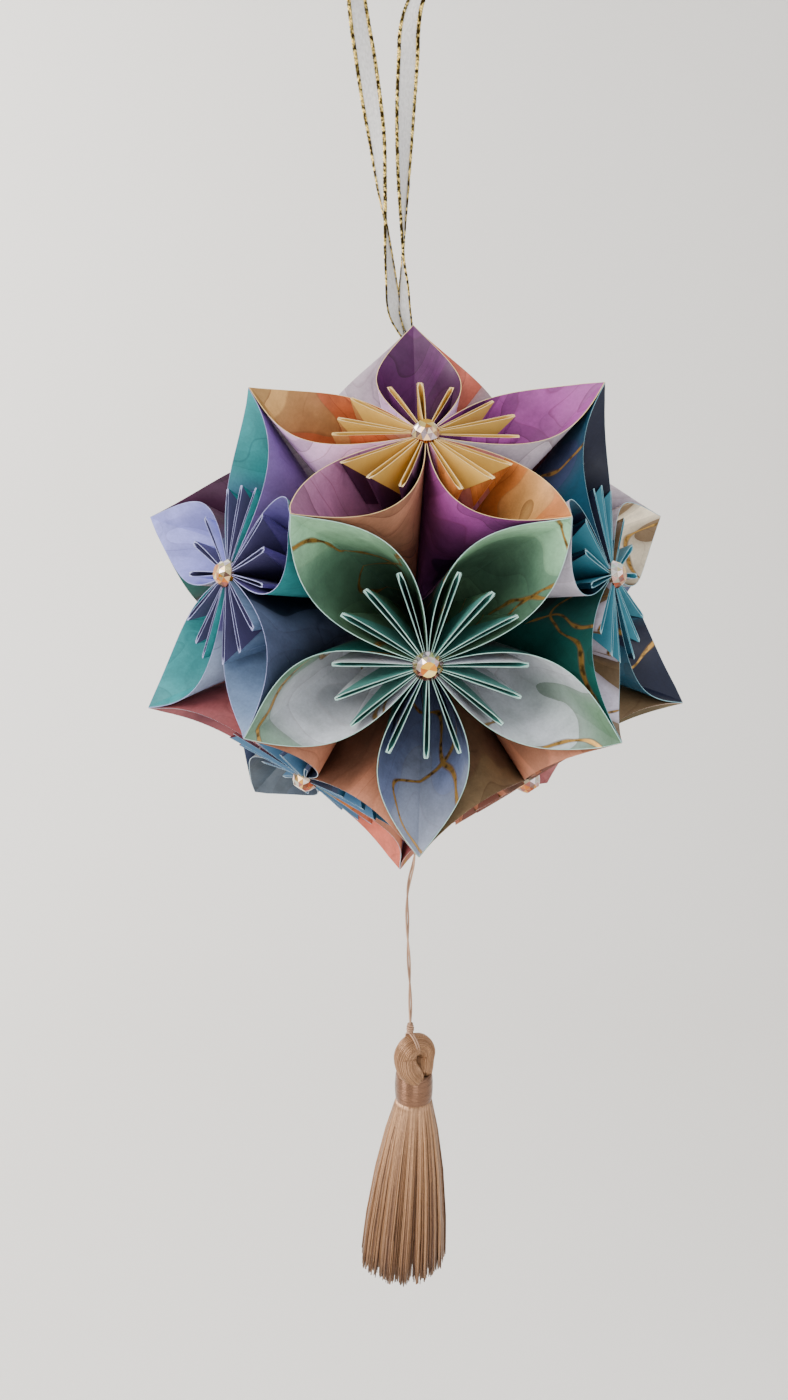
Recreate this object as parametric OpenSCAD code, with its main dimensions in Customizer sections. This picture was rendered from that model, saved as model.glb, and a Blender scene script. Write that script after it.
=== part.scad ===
// A hanging kusudama ball: twelve flowers of folded paper petals with a stone in the middle of
// each, a ribbon loop above the ball and a tassel on a cord below it.
// Millimetres. The origin is the top of the ribbon loop, +Z is up and the front faces -Y.

/* [Paper] */
// Side of the square sheet that one petal is folded from
paper_side = 101.6; // [60:0.1:160]
// Thickness of a petal's wall at its rim
wall_t = 0.5; // [0.3:0.05:0.8]
// Thickness of a pressed fin at its top edge
fin_t = 0.8; // [0.4:0.05:1.1]
// Angle between neighbouring fins of a petal
fin_angle = 21; // [17:0.5:24]
// Gap that the glue fills between neighbouring pieces
glue_gap = 0.1; // [0.05:0.01:0.3]

/* [Petals] */
// Distance from the middle of the ball to the point where a flower's petals start
core_r = 5.8; // [3:0.1:10]
// Height above that point at which the petals' narrow ends are open
open_h = 7.6; // [5:0.1:12]
// Angle between a petal's wall and its middle line at the tip
tip_angle = 57; // [46:0.5:58]
// How full a petal's sides are, as a share of its length
fullness = 0.48; // [0.3:0.01:0.54]
// How late a petal's rim rises towards its tip
rim_power = 8; // [4:0.5:10]
// Flat steps along each side of a petal
side_steps = 7; // [5:1:10]

/* [Stones] */
// Diameter of a stone
gem_d = 7.2; // [5:0.1:10]
// Height of a stone
gem_h = 3.2; // [2:0.1:5]
// Height of a stone's upright edge
gem_edge_h = 0.8; // [0.4:0.1:1.4]
// Height of the upright rim around a stone's flat top
gem_top_h = 0.2; // [0.1:0.05:0.4]
// Diameter of the flat on a stone's top
gem_top_d = 3.8; // [2:0.1:4.5]
// Number of sides of a stone
gem_sides = 12; // [8:1:12]

/* [Ribbon and cord] */
// Width of the ribbon
ribbon_w = 6; // [3:0.1:8]
// Thickness of the ribbon
ribbon_t = 0.3; // [0.2:0.05:0.5]
// Height of the loop's top above the ball's top tip
loop_h = 100; // [90:1:120]
// Diameter of the tassel's cord
cord_d = 1.2; // [0.8:0.1:2]

/* [Tassel] */
// Diameter of the knot on the cord's lower end
knot_d = 3; // [2:0.1:4]
// Distance that the tassel hangs to the right of its knot
tassel_offset = 1.2; // [0:0.1:2]
// Width of the looped head
head_w = 13.4; // [11:0.1:16]
// Height of the looped head
head_h = 12; // [11:0.1:20]
// Thickness of the looped bundle of threads at the top of the head
bundle_d = 5.9; // [4:0.1:6]
// Turn of the head about the upright axis
head_turn = 25; // [0:1:90]
// Outer diameter of the wrapped band
band_d = 11.2; // [9.5:0.1:13]
// Height of the wrapped band
band_h = 8.4; // [5:0.1:14]
// Thickness of the wrapped band
band_t = 0.8; // [0.4:0.1:1.2]
// Diameter of the skirt at its lower end
skirt_d = 26.6; // [16:0.1:34]
// Length of the skirt below the band
skirt_l = 53; // [30:1:90]
// Number of gathers around the skirt
skirt_gathers = 26; // [16:1:32]
// Depth of a gather
gather_depth = 0.9; // [0.3:0.1:1.5]
// Distance that the skirt's lower end sways to the left
skirt_sway = 2.9; // [0:0.1:5]

/* [Hidden] */
flower_count = 12;
petals = 5;
flowers_per_ring = 3;
half_wedge = 180 / petals;
corner_wedge = 60;

// The flowers' axes are those of a regular dodecahedron that stands on one of its corners.
near_polar = acos(sqrt((5 + 2 * sqrt(5)) / 15));
far_polar = acos(sqrt((5 - 2 * sqrt(5)) / 15));
// Each ring of flowers: angle from the upright axis, azimuth of the first, turn of its first petal
rings = [
    [near_polar, -90, 180],
    [far_polar, 90, 180],
    [180 - far_polar, -90, 0],
    [180 - near_polar, 90, 0]
];

// Folding the square puts its middle at the petal's start and one corner at the petal's tip.
seam_l = paper_side / 2;
corner_l = paper_side / sqrt(2);
fin_l = paper_side * (sqrt(2) - 1) / 2;
tip_r = core_r * cos(near_polar) + sqrt(pow(corner_l, 2) - pow(core_r * sin(near_polar), 2));
tip_h = tip_r * cos(near_polar) - core_r;
flower_h = core_r + seam_l;
ball_z = -loop_h - tip_r;

// A petal's section is drawn on the plane through the top of its seam, with its tip along +X.
// Every point of it runs down a straight line to the petal's start.
tip_x = tip_r * sin(near_polar) * seam_l / tip_h;
rim_rise = tip_h / seam_l - 1;
seam_x = glue_gap / 2 / sin(half_wedge);
end_x = tip_x - glue_gap / 2 / sin(corner_wedge);
handle = fullness * tip_x;
side_curve = [
    [seam_x, 0],
    [seam_x + handle * cos(half_wedge), handle * sin(half_wedge)],
    [end_x - handle * cos(tip_angle), handle * sin(tip_angle)],
    [end_x, 0]
];

// Colours of the papers' solid backs, and the paper that each flower is folded from
paper_colors = [
    "#d8b166", "#b98aa0", "#6f8f96", "#3f7d74", "#6a63a8", "#2f6f80", "#456c8a", "#7a4a3c"
];
flower_papers = [0, 1, 2, 3, 4, 5, 3, 4, 5, 0, 6, 7];

// Ribbon: points of its middle line, with its twist and the share of its width that lies open
ribbon_route = [
    [-0.9, 11.8, -114, 180, 0.5],
    [-0.9, 11.8, -108, 182, 0.5],
    [-1.2, 11.8, -105, 188, 0.5],
    [-3, 10.2, -102, 206, 0.75],
    [-4.8, 8, -98.5, 222, 0.95],
    [-5.8, 6, -95, 230, 1],
    [-6.4, 5, -90, 220, 1],
    [-7.4, 5, -81, 202, 1],
    [-8.2, 5, -73, 182, 1],
    [-9.2, 5, -65, 160, 1],
    [-10.4, 5, -54, 132, 1],
    [-12, 5, -44, 108, 1],
    [-13.6, 5, -34, 88, 1],
    [-15, 4.6, -26, 72, 1],
    [-15.8, 4, -19, 56, 1],
    [-15, 3, -12, 40, 1],
    [-12, 2, -6, 24, 1],
    [-6.5, 0.8, -1.6, 10, 1],
    [0, 0, 0, 0, 1],
    [5, 0.4, -2.2, 8, 1],
    [7, 1.4, -7, 18, 1],
    [5.6, 2.4, -12, 28, 1],
    [2, 3.6, -16.5, 38, 1],
    [-1, 4.6, -22, 54, 1],
    [-2.2, 5, -28, 74, 1],
    [-2.4, 5, -34, 88, 1],
    [-3, 5, -46, 110, 1],
    [-3.4, 5, -60, 136, 1],
    [-3.5, 5, -74, 164, 1],
    [-3.4, 5, -84, 182, 1],
    [-3.1, 5.2, -91, 206, 1],
    [-2.8, 6.2, -96, 216, 0.95],
    [-1.8, 8.4, -100, 208, 0.85],
    [-0.6, 10.4, -104, 194, 0.65],
    [0.7, 11.6, -108, 184, 0.5],
    [0.9, 11.8, -114, 180, 0.5]
];

// Cord: points of its middle line, measured from the ball's bottom tip
cord_route = [
    [0.3, -10.4, 14],
    [0.3, -10.3, 11],
    [0.1, -9.9, 8],
    [-0.3, -9.7, 5],
    [-0.9, -9.1, 2],
    [-1.4, -8.5, -1],
    [-1.7, -8.1, -4],
    [-1.8, -8, -8],
    [-1.7, -8, -12],
    [-1.6, -8, -16],
    [-1.4, -8, -20],
    [-1.2, -8, -24],
    [-1, -8, -28],
    [-0.8, -8, -32],
    [-0.7, -8, -36],
    [-0.6, -8, -40],
    [-0.6, -8, -43.5]
];
cord_sides = 8;
bundle_sides = 12;
// Skirt: shares of its length from the band, and the shares of its flare reached there
skirt_profile = [[1, 1], [0.75, 0.86], [0.45, 0.55], [0.2, 0.22]];
cord_points = [for (p = cord_route) p + [0, 0, ball_z - tip_r]];
cord_end = cord_points[len(cord_points) - 1];

// The tassel hangs under the knot: head, then band, then skirt, each seated on the next.
head_top_z = cord_end.z - knot_d - 2 * glue_gap;
band_top_z = head_top_z - head_h;
band_bottom_z = band_top_z - band_h;
tassel_x = cord_end.x + tassel_offset;
neck_r = band_d / 2 - band_t;
leg_r = neck_r / 2 - glue_gap;

function two_digits(i) = str(i < 9 ? "0" : "", i + 1);
function flower_name(i) = str("flower_", two_digits(i));
function gem_name(i) = str("gem_", two_digits(i));

function unit(v) = v / norm(v);
function bezier(p, t) = pow(1 - t, 3) * p[0] + 3 * pow(1 - t, 2) * t * p[1]
    + 3 * (1 - t) * t * t * p[2] + pow(t, 3) * p[3];
function bezier_way(p, t) = pow(1 - t, 2) * (p[1] - p[0]) + 2 * (1 - t) * t * (p[2] - p[1])
    + t * t * (p[3] - p[2]);

// Point where the line through p at angle a meets the line through q at angle b
function crossing(p, a, q, b) =
    p + [cos(a), sin(a)] * ((q.x - p.x) * sin(b) - (q.y - p.y) * cos(b)) / sin(b - a);
// Point at a distance along the direction of angle a, and at a distance to its left
function from_seam(a, along, left) =
    [seam_x, 0] + along * [cos(a), sin(a)] + left * [-sin(a), cos(a)];

function mirrored(p) = [p.x, -p.y];
function outer_side(u) = bezier(side_curve, u);
function inner_side(u) =
    let (way = unit(bezier_way(side_curve, u)))
    outer_side(u) + wall_t * [way.y, -way.x];

// The wall's inner corner beside the outermost fin, and the corner between two fins
wall_root = crossing(
    from_seam(half_wedge, 0, -wall_t), half_wedge, from_seam(fin_angle, 0, fin_t / 2), fin_angle
);
fin_root = crossing(
    from_seam(fin_angle, 0, -fin_t / 2), fin_angle, from_seam(0, 0, fin_t / 2), 0
);

// Section points in order: the wall's outside, its inside, the roots between fins, the fins' ends
function wall_outside() = concat(
    [for (i = [0:side_steps]) outer_side(i / side_steps)],
    [for (i = [1:side_steps - 1]) mirrored(outer_side(1 - i / side_steps))]
);
function wall_inside() = concat(
    [wall_root],
    [for (i = [1:side_steps - 1]) inner_side(i / side_steps)],
    [[end_x - wall_t / sin(tip_angle), 0]],
    [for (i = [1:side_steps - 1]) mirrored(inner_side(1 - i / side_steps))],
    [mirrored(wall_root)]
);
function fin_ends() = [
    for (k = [-1:1], side = [-1, 1]) from_seam(k * fin_angle, fin_l, side * fin_t / 2)
];
function lift(x) = 1 + rim_rise * pow(max(x, 0) / tip_x, rim_power);
function from_start(p, share) = [p.x * share, p.y * share, core_r + seam_l * share];

module petal() {
    stations = 2 * side_steps;
    outside = wall_outside();
    inside = wall_inside();
    fins = concat([fin_root, mirrored(fin_root)], fin_ends());
    section = concat(outside, inside, fins);
    count = len(section);
    // A rim point of the wall's inside is as high as the outside point beside it.
    rim_lifts = concat(
        [for (p = outside) lift(p.x)],
        [for (i = [0:stations]) lift(outside[i % stations].x)],
        [for (p = fins) 1]
    );
    low = [for (p = section) from_start(p, open_h / seam_l)];
    high = [for (i = [0:count - 1]) from_start(section[i], rim_lifts[i])];

    upper_root = 2 * stations + 1;
    lower_root = upper_root + 1;
    first_fin = lower_root + 1;
    outer_path = concat([0], [for (i = [1:stations - 1]) stations - i]);
    inner_path = concat(
        [for (i = [0:stations]) stations + i],
        [first_fin, first_fin + 1, lower_root],
        [first_fin + 2, first_fin + 3, upper_root],
        [first_fin + 4, first_fin + 5]
    );
    quads = concat(
        [for (i = [0:stations - 1])
            [i, stations + i, stations + i + 1, (i + 1) % stations]],
        [[2 * stations, first_fin, first_fin + 1, lower_root]],
        [[lower_root, first_fin + 2, first_fin + 3, upper_root]],
        [[upper_root, first_fin + 4, first_fin + 5, stations]]
    );
    caps = concat(
        [for (q = quads) [q[0], q[1], q[2]]],
        [for (q = quads) [q[0], q[2], q[3]]],
        [[0, 2 * stations, lower_root], [0, lower_root, upper_root], [0, upper_root, stations]]
    );
    sides = [
        for (path = [outer_path, inner_path], i = [0:len(path) - 1])
            let (a = path[i], b = path[(i + 1) % len(path)])
            [a, a + count, b + count, b]
    ];
    polyhedron(
        concat(low, high),
        concat(sides, caps, [for (c = caps) [c[2] + count, c[1] + count, c[0] + count]])
    );
}

// Puts its children on the axis of flower i, with the ball's middle at their origin
module on_flower_axis(i) {
    ring = rings[floor(i / flowers_per_ring)];
    azimuth = ring[1] + 360 / flowers_per_ring * (i % flowers_per_ring);
    translate([0, 0, ball_z])
        rotate([0, ring[0], azimuth])
            rotate([0, 0, ring[2]])
                children();
}

module flower(i) {
    color(paper_colors[flower_papers[i]])
        on_flower_axis(i)
            for (k = [0:petals - 1])
                rotate([0, 0, k * 360 / petals])
                    petal();
}

module gem(i) {
    seat = flower_h + glue_gap + rim_rise * seam_l * pow(gem_d / 2 / tip_x, rim_power);
    color("#f0dcc0")
        on_flower_axis(i)
            translate([0, 0, seat])
                hull() {
                    cylinder(d = gem_d, h = gem_edge_h, $fn = gem_sides);
                    translate([0, 0, gem_h - gem_top_h])
                        rotate([0, 0, 180 / gem_sides])
                            cylinder(d = gem_top_d, h = gem_top_h, $fn = gem_sides);
                }
}

// Solid through a list of rings of points, each ring counter-clockwise about the way it goes.
// The two halves of a ring are cut along matching diagonals, so a twisted strip keeps its thickness.
module loft(rows) {
    n = len(rows[0]);
    last = (len(rows) - 1) * n;
    points = [for (row = rows) each row];
    walls = [
        for (k = [0:len(rows) - 2], j = [0:n - 1])
            let (a = k * n + j, b = k * n + (j + 1) % n)
            each j < n / 2
                ? [[a, a + n, b + n], [a, b + n, b]]
                : [[a, a + n, b], [b, a + n, b + n]]
    ];
    ends = [[for (j = [0:n - 1]) j], [for (j = [0:n - 1]) last + n - 1 - j]];
    polyhedron(points, concat(walls, ends));
}

// Ring k of a path: section points across the path, the first axis in the XZ plane
function way_at(path, k) =
    unit(path[min(k + 1, len(path) - 1)] - path[max(k - 1, 0)]);
function ring_at(path, k, section) =
    let (way = way_at(path, k), across = unit(cross([0, 1, 0], way)), depth = cross(way, across))
    [for (q = section) path[k] + q.x * across + q.y * depth];
function round_section(r, sides) =
    [for (j = [0:sides - 1]) r * [cos(j * 360 / sides), sin(j * 360 / sides)]];
function turned(p, a) = [p.x * cos(a) - p.y * sin(a), p.x * sin(a) + p.y * cos(a)];
function flat_section(w, t, twist) =
    [for (c = [[-1, -1], [1, -1], [1, 1], [-1, 1]])
        turned([c.x * t / 2, c.y * w / 2], -twist)];

module hanging_ribbon() {
    path = [for (p = ribbon_route) [p[0], p[1], p[2]]];
    color("#d8d2c4")
        loft([
            for (k = [0:len(path) - 1])
                ring_at(path, k, flat_section(
                    ribbon_w * ribbon_route[k][4], ribbon_t, ribbon_route[k][3]
                ))
        ]);
}

module tassel_cord() {
    color("#a98a6c")
        loft([
            for (k = [0:len(cord_points) - 1])
                ring_at(cord_points, k, round_section(cord_d / 2, cord_sides))
        ]);
}

module cord_knot() {
    color("#a98a6c")
        translate(cord_end - [0, 0, knot_d / 2 + glue_gap])
            sphere(d = knot_d, $fn = 32);
}

module tassel_head() {
    bundle_r = bundle_d / 2;
    arch_r = head_w / 2 - bundle_r;
    arch_z = head_h - head_w / 2;
    leg_x = leg_r + glue_gap / 2;
    arch_steps = 8;
    upright_share = 0.25;
    swell_share = 0.6;
    // Each leg leaves the band upright and swells into the arch.
    left_leg = [
        [-leg_x, 0, 0, leg_r],
        [-leg_x, 0, arch_z * upright_share, leg_r],
        [-(leg_x + arch_r) / 2, 0, arch_z * swell_share, (leg_r + bundle_r) / 2]
    ];
    right_leg = [for (i = [2:-1:0]) [-left_leg[i][0], 0, left_leg[i][2], left_leg[i][3]]];
    arch = [
        for (k = [0:arch_steps])
            let (a = 180 - k * 180 / arch_steps)
            [arch_r * cos(a), 0, arch_z + arch_r * sin(a), bundle_r]
    ];
    stations = concat(left_leg, arch, right_leg);
    path = [for (s = stations) [s[0], s[1], s[2]]];
    color("#b08f72")
        translate([tassel_x, cord_end.y, band_top_z])
            rotate([0, 0, head_turn])
                loft([
                    for (k = [0:len(path) - 1])
                        ring_at(path, k, round_section(stations[k][3], bundle_sides))
                ]);
}

module tassel_band() {
    edge = band_t / 2;
    inner_r = neck_r + glue_gap;
    outer_r = band_d / 2;
    color("#9c7c62")
        translate([tassel_x, cord_end.y, band_bottom_z])
            rotate_extrude($fn = 64)
                polygon([
                    [inner_r, 0],
                    [outer_r - edge, 0],
                    [outer_r, edge],
                    [outer_r, band_h - edge],
                    [outer_r - edge, band_h],
                    [inner_r, band_h]
                ]);
}

module tassel_skirt() {
    points_per_gather = 2;
    around = skirt_gathers * points_per_gather;
    shoulder_r = band_d / 2;
    flare = skirt_d / 2 - shoulder_r;
    // Stations from the skirt's end up to the neck's top: height, radius, gather depth
    stations = concat(
        [for (s = skirt_profile) [-skirt_l * s[0], shoulder_r + flare * s[1], gather_depth]],
        [[-glue_gap, shoulder_r, gather_depth / 2]],
        [[-glue_gap / 2, neck_r, 0], [band_h - glue_gap, neck_r, 0]]
    );
    color("#b08f72")
        translate([tassel_x, cord_end.y, band_bottom_z])
            loft([
                for (s = stations)
                    [for (j = [0:around - 1])
                        let (a = j * 360 / around, r = s[1] - s[2] * (j % points_per_gather))
                        [r * cos(a) + skirt_sway * min(s[0], 0) / skirt_l, r * sin(a), s[0]]]
            ]);
}

for (i = [0:flower_count - 1]) {
    flower(i);
    gem(i);
}
hanging_ribbon();
tassel_cord();
cord_knot();
tassel_head();
tassel_band();
tassel_skirt();
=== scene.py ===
"""Looks of a hanging kusudama ball: folded paper flowers, stones, a ribbon loop and a tassel.

The sizes below repeat the part's own, in millimetres; meshes are built in millimetres and scaled to metres.
"""
import math
import random

import bpy
import numpy as np
from mathutils import Matrix, Vector


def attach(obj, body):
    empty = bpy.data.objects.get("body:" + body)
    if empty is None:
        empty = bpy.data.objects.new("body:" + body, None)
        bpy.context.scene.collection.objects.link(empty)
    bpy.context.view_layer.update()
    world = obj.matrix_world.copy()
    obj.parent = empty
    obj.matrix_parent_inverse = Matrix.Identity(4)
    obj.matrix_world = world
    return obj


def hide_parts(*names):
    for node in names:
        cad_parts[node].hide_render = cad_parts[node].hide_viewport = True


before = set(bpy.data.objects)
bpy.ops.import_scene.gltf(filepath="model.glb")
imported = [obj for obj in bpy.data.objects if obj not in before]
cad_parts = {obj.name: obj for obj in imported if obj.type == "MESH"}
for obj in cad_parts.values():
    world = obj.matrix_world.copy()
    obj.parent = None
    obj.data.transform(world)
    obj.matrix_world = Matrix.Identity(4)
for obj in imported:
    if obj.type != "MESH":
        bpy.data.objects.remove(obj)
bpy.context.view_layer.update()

MM = 0.001

# Sizes of the part
PAPER_SIDE = 101.6
WALL_T = 0.5
FIN_ANGLE = 21.0
GLUE_GAP = 0.1
CORE_R = 5.8
TIP_ANGLE = 57.0
FULLNESS = 0.48
GEM_D = 7.2
GEM_H = 3.2
GEM_EDGE_H = 0.8
GEM_TOP_D = 3.8
RIBBON_W = 6.0
RIBBON_T = 0.3
LOOP_H = 100.0
KNOT_D = 3.0
TASSEL_OFFSET = 1.2
HEAD_W = 13.4
HEAD_H = 12.0
BUNDLE_D = 5.9
HEAD_TURN = 25.0
BAND_D = 11.2
BAND_H = 8.4
BAND_T = 0.8
SKIRT_D = 26.6
SKIRT_L = 53.0
SKIRT_SWAY = 2.9

# Values that follow from folding a square sheet
PETALS = 5
FLOWERS_PER_RING = 3
HALF_WEDGE = math.pi / PETALS
NEAR_POLAR = math.acos(math.sqrt((5 + 2 * math.sqrt(5)) / 15))
FAR_POLAR = math.acos(math.sqrt((5 - 2 * math.sqrt(5)) / 15))
SEAM_L = PAPER_SIDE / 2
CORNER_L = PAPER_SIDE / math.sqrt(2)
FIN_L = PAPER_SIDE * (math.sqrt(2) - 1) / 2
TIP_R = CORE_R * math.cos(NEAR_POLAR) + math.sqrt(CORNER_L**2 - (CORE_R * math.sin(NEAR_POLAR)) ** 2)
TIP_H = TIP_R * math.cos(NEAR_POLAR) - CORE_R
BALL_Z = -LOOP_H - TIP_R
TIP_X = TIP_R * math.sin(NEAR_POLAR) * SEAM_L / TIP_H
RIM_RISE = TIP_H / SEAM_L - 1
SEAM_X = GLUE_GAP / 2 / math.sin(HALF_WEDGE)
END_X = TIP_X - GLUE_GAP / 2 / math.sin(math.radians(60))
FLOWER_H = CORE_R + SEAM_L
SHEET_ANGLE = math.pi / 4

# Each ring of flowers: angle from the upright axis, azimuth of the first, turn of its first petal
RINGS = [
    (NEAR_POLAR, -90, 180),
    (FAR_POLAR, 90, 180),
    (math.pi - FAR_POLAR, -90, 0),
    (math.pi - NEAR_POLAR, 90, 0),
]

# Hand-glued corners and middles that sit off their ideal place, by the flowers that meet there
CORNER_SHIFTS = {
    (0, 4, 6): (-3.6, 0, -0.2),
    (0, 5, 6): (1.8, 0, -0.5),
    (0, 2, 4): (1.5, 0, -1.2),
    (0, 1, 5): (1.0, 0, 1.0),
    (0, 1, 2): (-0.8, 0, -1.2),
    (4, 6, 10): (1.6, 0, 0.5),
    (5, 6, 11): (0.5, 0, -1.0),
    (6, 10, 11): (-1.8, 0, 1.4),
    (9, 10, 11): (-3.4, 0, 0.4),
    (4, 8, 10): (-1.0, 0, -0.8),
    (5, 7, 11): (2.8, 0, 0),
    (2, 4, 8): (-2.2, 0, -1.0),
    (8, 9, 10): (-3.0, 0, -2.2),
}
MIDDLE_SHIFTS = {
    0: (0, 0, -0.9),
    6: (-0.6, 0, 2.2),
    10: (0, 0, 0.9),
}

# Camera, worked out from where the flowers' tips fall in the 788 x 1400 picture
PICTURE_H = 1400
FOCAL_PX = 1052
SENSOR_MM = 36.0
CAMERA_AT = Vector((-0.02016, -0.29207, -0.15185))
CAMERA_FORWARD = Vector((0.04967, 0.98414, -0.17031))
CAMERA_RIGHT = Vector((0.99876, -0.04950, 0.00525))

# Ribbon: points of its middle line in metres, with its twist and the share of its width that lies open
RIBBON_ROUTE = [
    (-0.0009, 0.0118, -0.114, 180, 0.5),
    (-0.0009, 0.0118, -0.108, 182, 0.5),
    (-0.0012, 0.0118, -0.105, 188, 0.5),
    (-0.003, 0.0102, -0.102, 206, 0.75),
    (-0.0048, 0.008, -0.0985, 222, 0.95),
    (-0.0058, 0.006, -0.095, 230, 1),
    (-0.0064, 0.005, -0.09, 220, 1),
    (-0.0074, 0.005, -0.081, 202, 1),
    (-0.0082, 0.005, -0.073, 182, 1),
    (-0.0092, 0.005, -0.065, 160, 1),
    (-0.0104, 0.005, -0.054, 132, 1),
    (-0.012, 0.005, -0.044, 108, 1),
    (-0.0136, 0.005, -0.034, 88, 1),
    (-0.015, 0.0046, -0.026, 72, 1),
    (-0.0158, 0.004, -0.019, 56, 1),
    (-0.015, 0.003, -0.012, 40, 1),
    (-0.012, 0.002, -0.006, 24, 1),
    (-0.0065, 0.0008, -0.0016, 10, 1),
    (0, 0, 0, 0, 1),
    (0.005, 0.0004, -0.0022, 8, 1),
    (0.007, 0.0014, -0.007, 18, 1),
    (0.0056, 0.0024, -0.012, 28, 1),
    (0.002, 0.0036, -0.0165, 38, 1),
    (-0.001, 0.0046, -0.022, 54, 1),
    (-0.0022, 0.005, -0.028, 74, 1),
    (-0.0024, 0.005, -0.034, 88, 1),
    (-0.003, 0.005, -0.046, 110, 1),
    (-0.0034, 0.005, -0.06, 136, 1),
    (-0.0035, 0.005, -0.074, 164, 1),
    (-0.0034, 0.005, -0.084, 182, 1),
    (-0.0031, 0.0052, -0.091, 206, 1),
    (-0.0028, 0.0062, -0.096, 216, 0.95),
    (-0.0018, 0.0084, -0.1, 208, 0.85),
    (-0.0006, 0.0104, -0.104, 194, 0.65),
    (0.0007, 0.0116, -0.108, 184, 0.5),
    (0.0009, 0.0118, -0.114, 180, 0.5),
]

# Cord: points of its middle line in metres, measured from the ball's bottom tip
CORD_ROUTE = [
    (0.0003, -0.0104, 0.014),
    (0.0003, -0.0103, 0.011),
    (0.0001, -0.0099, 0.008),
    (-0.0003, -0.0097, 0.005),
    (-0.0009, -0.0091, 0.002),
    (-0.0014, -0.0085, -0.001),
    (-0.0017, -0.0081, -0.004),
    (-0.0018, -0.008, -0.008),
    (-0.0017, -0.008, -0.012),
    (-0.0016, -0.008, -0.016),
    (-0.0014, -0.008, -0.02),
    (-0.0012, -0.008, -0.024),
    (-0.001, -0.008, -0.028),
    (-0.0008, -0.008, -0.032),
    (-0.0007, -0.008, -0.036),
    (-0.0006, -0.008, -0.04),
    (-0.0006, -0.008, -0.0435),
]
CORD_TOP_Z = (BALL_Z - TIP_R) * MM

# Tassel: heights and the place of its axis, in millimetres
CORD_END = np.array(CORD_ROUTE[-1]) / MM + [0, 0, BALL_Z - TIP_R]
HEAD_TOP_Z = CORD_END[2] - KNOT_D - 2 * GLUE_GAP
BAND_TOP_Z = HEAD_TOP_Z - HEAD_H
BAND_BOTTOM_Z = BAND_TOP_Z - BAND_H
TASSEL_X = CORD_END[0] + TASSEL_OFFSET
TASSEL_Y = CORD_END[1]
NECK_R = BAND_D / 2 - BAND_T

# Inks of the printed papers
INKS = {
    "amethyst": "#75619e",
    "apricot": "#b06a34",
    "ash": "#38434e",
    "aubergine": "#42223a",
    "bone": "#e4d6bc",
    "brick": "#b8795e",
    "celadon": "#7ca584",
    "char": "#26312d",
    "clay": "#b07a5e",
    "cocoa": "#6b4a3a",
    "coral": "#b65c49",
    "deep_green": "#124740",
    "fern": "#456350",
    "grape": "#5a2f62",
    "indigo": "#5a5288",
    "lavender": "#8d8fd0",
    "lilac": "#dcb2d8",
    "lilac_grey": "#beb0b8",
    "maroon": "#62303a",
    "mauve": "#9a6787",
    "midnight": "#11162a",
    "mist": "#a3b8b0",
    "moss": "#56765c",
    "navy": "#26304a",
    "olive": "#55482f",
    "orange": "#ad5730",
    "orchid": "#8a4281",
    "petrol": "#163f52",
    "pewter": "#b0b4bb",
    "plum": "#4b1d49",
    "powder": "#8597b5",
    "rosewood": "#854749",
    "silver": "#aeb2b8",
    "slate": "#535c78",
    "steel_blue": "#5e718c",
    "storm": "#6f7687",
    "tan": "#ab824c",
    "teal": "#2a7b7f",
    "umber": "#6f5a41",
    "white_lilac": "#c6bfce",
}
GOLD_LEAF = "#a88042"
GOLD_SHADE = "#5a4426"
SPLASH_WHITE = "#e8ebe6"

# The print is drawn in centimetres of the flat sheet
PRINT_UNIT = 10.0
OUTSIDE_SHIFT = 30.0
FIN_SHIFT = 12.0
WARP_REACH = 2.6
WASH_STRETCH = (0.55, 1.25, 1.0)
TIDE_W = 0.13
TIDE_SHADE = (0.45, 0.3, 0.3, 1.0)
LAYER_TONES = (0.72, 1.3)
CLOUD_TONES = (0.82, 1.16)
GRAIN_TONES = (0.93, 1.07)
HAIR_W = 0.01
HAIR_SHADE = (0.4, 0.36, 0.42, 1.0)
DROP_R = 0.13
VEIN_HALF_W = 0.085
VEIN_STRAY = 1.5
# Each set of veins: the way it runs over the sheet and the distance from one vein to the next
VEIN_WAYS = (((0.77, 0.64), 3.2), ((0.94, -0.34), 4.6))

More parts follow.
